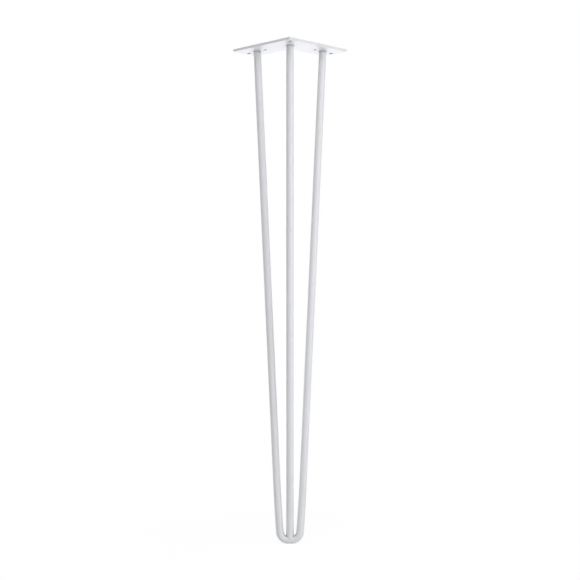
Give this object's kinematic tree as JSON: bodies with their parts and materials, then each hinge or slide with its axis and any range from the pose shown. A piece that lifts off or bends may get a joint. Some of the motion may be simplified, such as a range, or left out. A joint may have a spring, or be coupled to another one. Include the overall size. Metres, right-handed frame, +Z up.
{
  "type": "hairpin table leg",
  "caption": "Hairpin table leg: a round bar bent to a narrow U and a straight corner bar, welded under an L-shaped plate that screws to a table top.",
  "frame": {"origin": "on the plate's top face, where it meets the table, on the axis of the upright corner rod", "axes": "+Z up, out of the plate's top face; -Y towards the plate's outer corner; the YZ plane is the plane of symmetry"},
  "size_m": [0.1652, 0.1147, 0.71],
  "materials": {
    "powder_coat": "white satin powder coat on welded steel"
  },
  "bodies": {
    "root": {"mounting_plate": "powder_coat", "hairpin_rod": "powder_coat", "corner_rod": "powder_coat", "plate_weld_left": "powder_coat", "plate_weld_right": "powder_coat", "plate_weld_corner": "powder_coat", "foot_weld": "powder_coat"}
  },
  "joints": []
}
